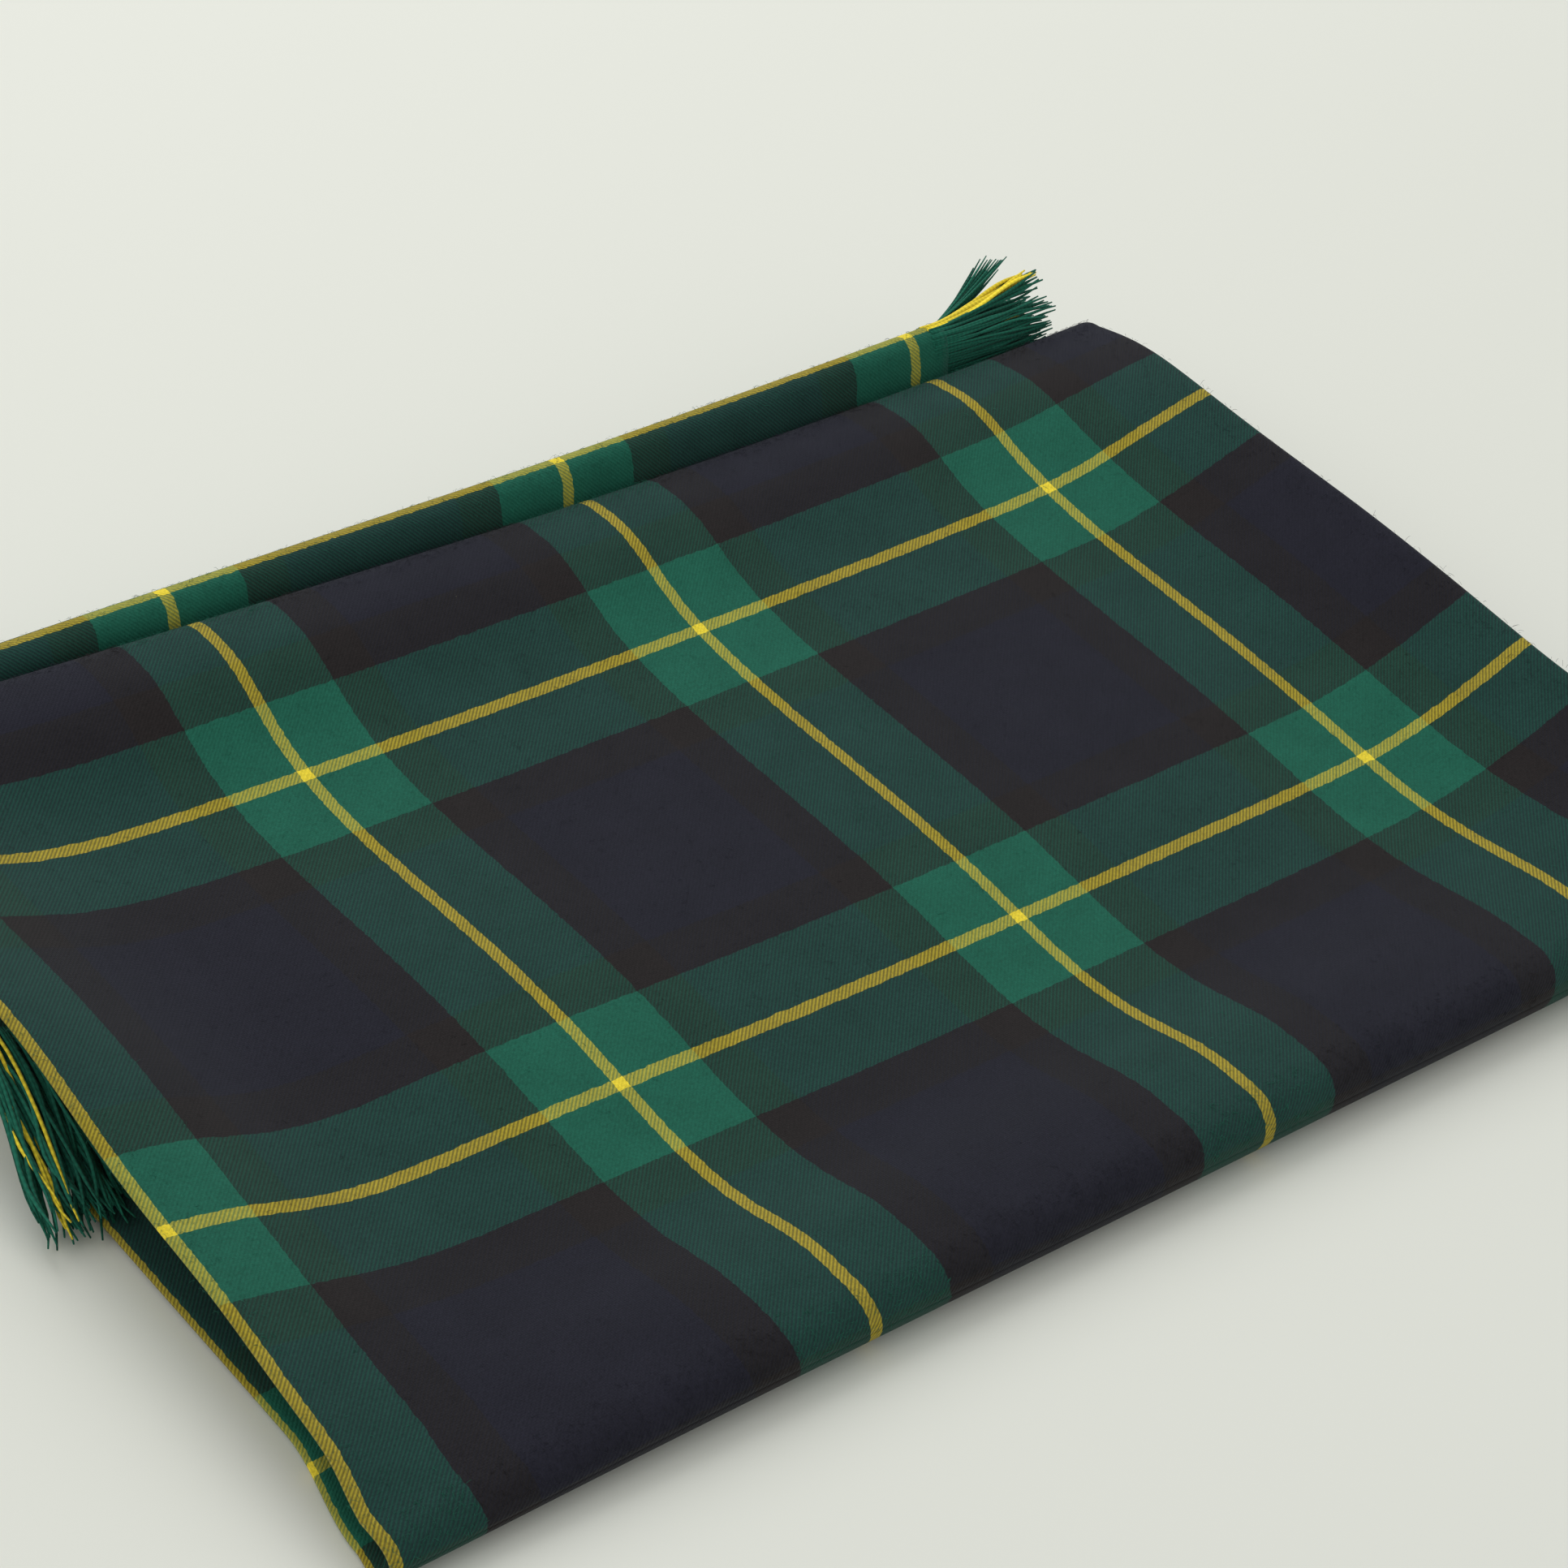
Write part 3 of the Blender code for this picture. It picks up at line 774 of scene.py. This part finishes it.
FLOOR_REACH = 8
ROOM_COLOUR, ROOM_LIGHT = (0.93, 0.95, 0.92, 1), 0.615
CAMERA_PLACE = (-0.4599, -0.4488, 0.4988)
HEADING, DOWN, ROLL = 0.79957, 0.63584, 0.18359  # in radians: from +Y towards +X, below level, and clockwise tilt
FOCAL_LENGTH, SENSOR = 93.2, 36  # in millimetres


def stage():
    """A plain pale floor, soft light and the camera."""
    mesh = bpy.data.meshes.new("floor")
    corners = [(-1, -1, 0), (1, -1, 0), (1, 1, 0), (-1, 1, 0)]
    mesh.from_pydata([(x * FLOOR_REACH, y * FLOOR_REACH, z) for x, y, z in corners], [], [(0, 1, 2, 3)])
    mesh.materials.append(floor_material())
    floor = bpy.data.objects.new("floor", mesh)
    bpy.context.scene.collection.objects.link(floor)

    world = bpy.data.worlds.new("pale_room")
    bpy.context.scene.world = world
    world.use_nodes = True
    background = world.node_tree.nodes["Background"].inputs
    background["Color"].default_value, background["Strength"].default_value = ROOM_COLOUR, ROOM_LIGHT

    light("window", (0.45, 1.15, 1.35), 1.5, 13)
    light("fill", (-1.4, 0.3, 1.4), 1.2, 5.5)

    lens = bpy.data.cameras.new("camera")
    lens.sensor_width = SENSOR
    lens.lens = FOCAL_LENGTH
    lens.clip_start, lens.clip_end = 0.01, 50
    camera = bpy.data.objects.new("camera", lens)
    bpy.context.scene.collection.objects.link(camera)
    forward = Vector((math.sin(HEADING) * math.cos(DOWN), math.cos(HEADING) * math.cos(DOWN), -math.sin(DOWN)))
    level = Vector((math.cos(HEADING), -math.sin(HEADING), 0))
    upright = level.cross(forward)
    right = math.cos(ROLL) * level + math.sin(ROLL) * upright
    up = -math.sin(ROLL) * level + math.cos(ROLL) * upright
    turn = Matrix((right, up, -forward)).transposed().to_4x4()
    camera.matrix_world = Matrix.Translation(CAMERA_PLACE) @ turn
    bpy.context.scene.camera = camera
    bpy.context.scene.view_settings.view_transform = "Standard"


def light(name, place, size, watts):
    """A square lamp that faces the middle of the pack."""
    lamp = bpy.data.lights.new(name, "AREA")
    lamp.size = size
    lamp.energy = watts
    obj = bpy.data.objects.new(name, lamp)
    obj.location = place
    obj.rotation_mode = "QUATERNION"
    obj.rotation_quaternion = (-Vector(place)).to_track_quat("-Z", "Y")
    bpy.context.scene.collection.objects.link(obj)


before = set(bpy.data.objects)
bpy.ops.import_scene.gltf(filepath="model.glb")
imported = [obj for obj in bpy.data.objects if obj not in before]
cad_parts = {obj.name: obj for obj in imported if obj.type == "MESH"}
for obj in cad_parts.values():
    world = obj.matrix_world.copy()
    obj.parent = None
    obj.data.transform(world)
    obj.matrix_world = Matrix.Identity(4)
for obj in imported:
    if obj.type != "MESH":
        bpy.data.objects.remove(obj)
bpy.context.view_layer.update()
stage()
wool, yarn = woven("wool_tartan"), yarn_material("fringe_yarn")

# The cloth
points, cloth, split = doubled_cloth()
top = grid_object("top_cloth", points[: split + 1], cloth[: split + 1], wool)
bottom_place = cloth[split:].copy()  # its upper selvedge is turned under, so its pattern starts further in
bottom_place[:, :, 0] -= TURNED_UNDER * smooth((bottom_place[:, :, 0] - 4.5) / 1.2)
bottom = grid_object("bottom_cloth", points[split:], bottom_place, wool)

tail_points, tail_place = tail_cloth()
tail = grid_object("tail_cloth", tail_points, tail_place, wool)
fringes = {"flap": flap_fringe(yarn), "roll": roll_fringe(yarn), "tail": tail_fringe(yarn)}

# Loose fibres, on the upper ply and on the roll
outer_side = len(stations(LEFT_EDGE, MIDDLE_FOLD - HALF_BEND, STEP / REPEAT))
top_rows = slice(len(stations(FLAP_END, BACK_START)) + BEND_POINTS // 2, split)
upper, upper_place = points[top_rows, :outer_side], cloth[top_rows, :outer_side]
everywhere = fuzz_points(upper, 5000, 21, lambda x, y, z: z > 0)
hems = fuzz_points(upper, 7000, 22, near_edge)
chosen = tuple(np.concatenate(pair) for pair in zip(everywhere, hems))
top_fuzz = fuzz("top_fuzz", upper, upper_place, chosen, yarn, 23)
crest = slice(*np.searchsorted(tail_place[: len(tail_place) // 2, 0, 0], (0.80, 1.25)))
roll, roll_place = tail_points[crest], tail_place[crest]
tail_fuzz = fuzz("tail_fuzz", roll, roll_place, fuzz_points(roll, 3000, 24, lambda x, y, z: z > 0.012), yarn, 25)


def nodes(*starts):
    """The CAD nodes whose names start in one of these ways."""
    return [name for name in sorted(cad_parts) if name.startswith(starts)]


# Hide the CAD parts that the pieces replace, and attach pieces to the bodies that they move with
flap_yarns, roll_yarns = nodes("tucked_flap_fringe"), nodes("tail_roll_fringe")
tail_yarns = nodes("tail_upper_fringe", "tail_lower_fringe")
panels = [n for n in nodes("top_panel", "back_fold", "tucked_flap", "front_fold_outer") if n not in flap_yarns]
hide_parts(*panels)
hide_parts(*nodes("bottom_panel", "front_fold"))
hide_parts(*[n for n in nodes("tail_") if n not in roll_yarns + tail_yarns])
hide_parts(*flap_yarns)
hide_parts(*roll_yarns)
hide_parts(*tail_yarns)
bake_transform(top)
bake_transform(bottom)
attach(tail, "base")
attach(top_fuzz, "top_flap")
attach(tail_fuzz, "base")
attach(fringes["flap"], "top_flap")
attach(fringes["roll"], "base")
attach(fringes["tail"], "base")
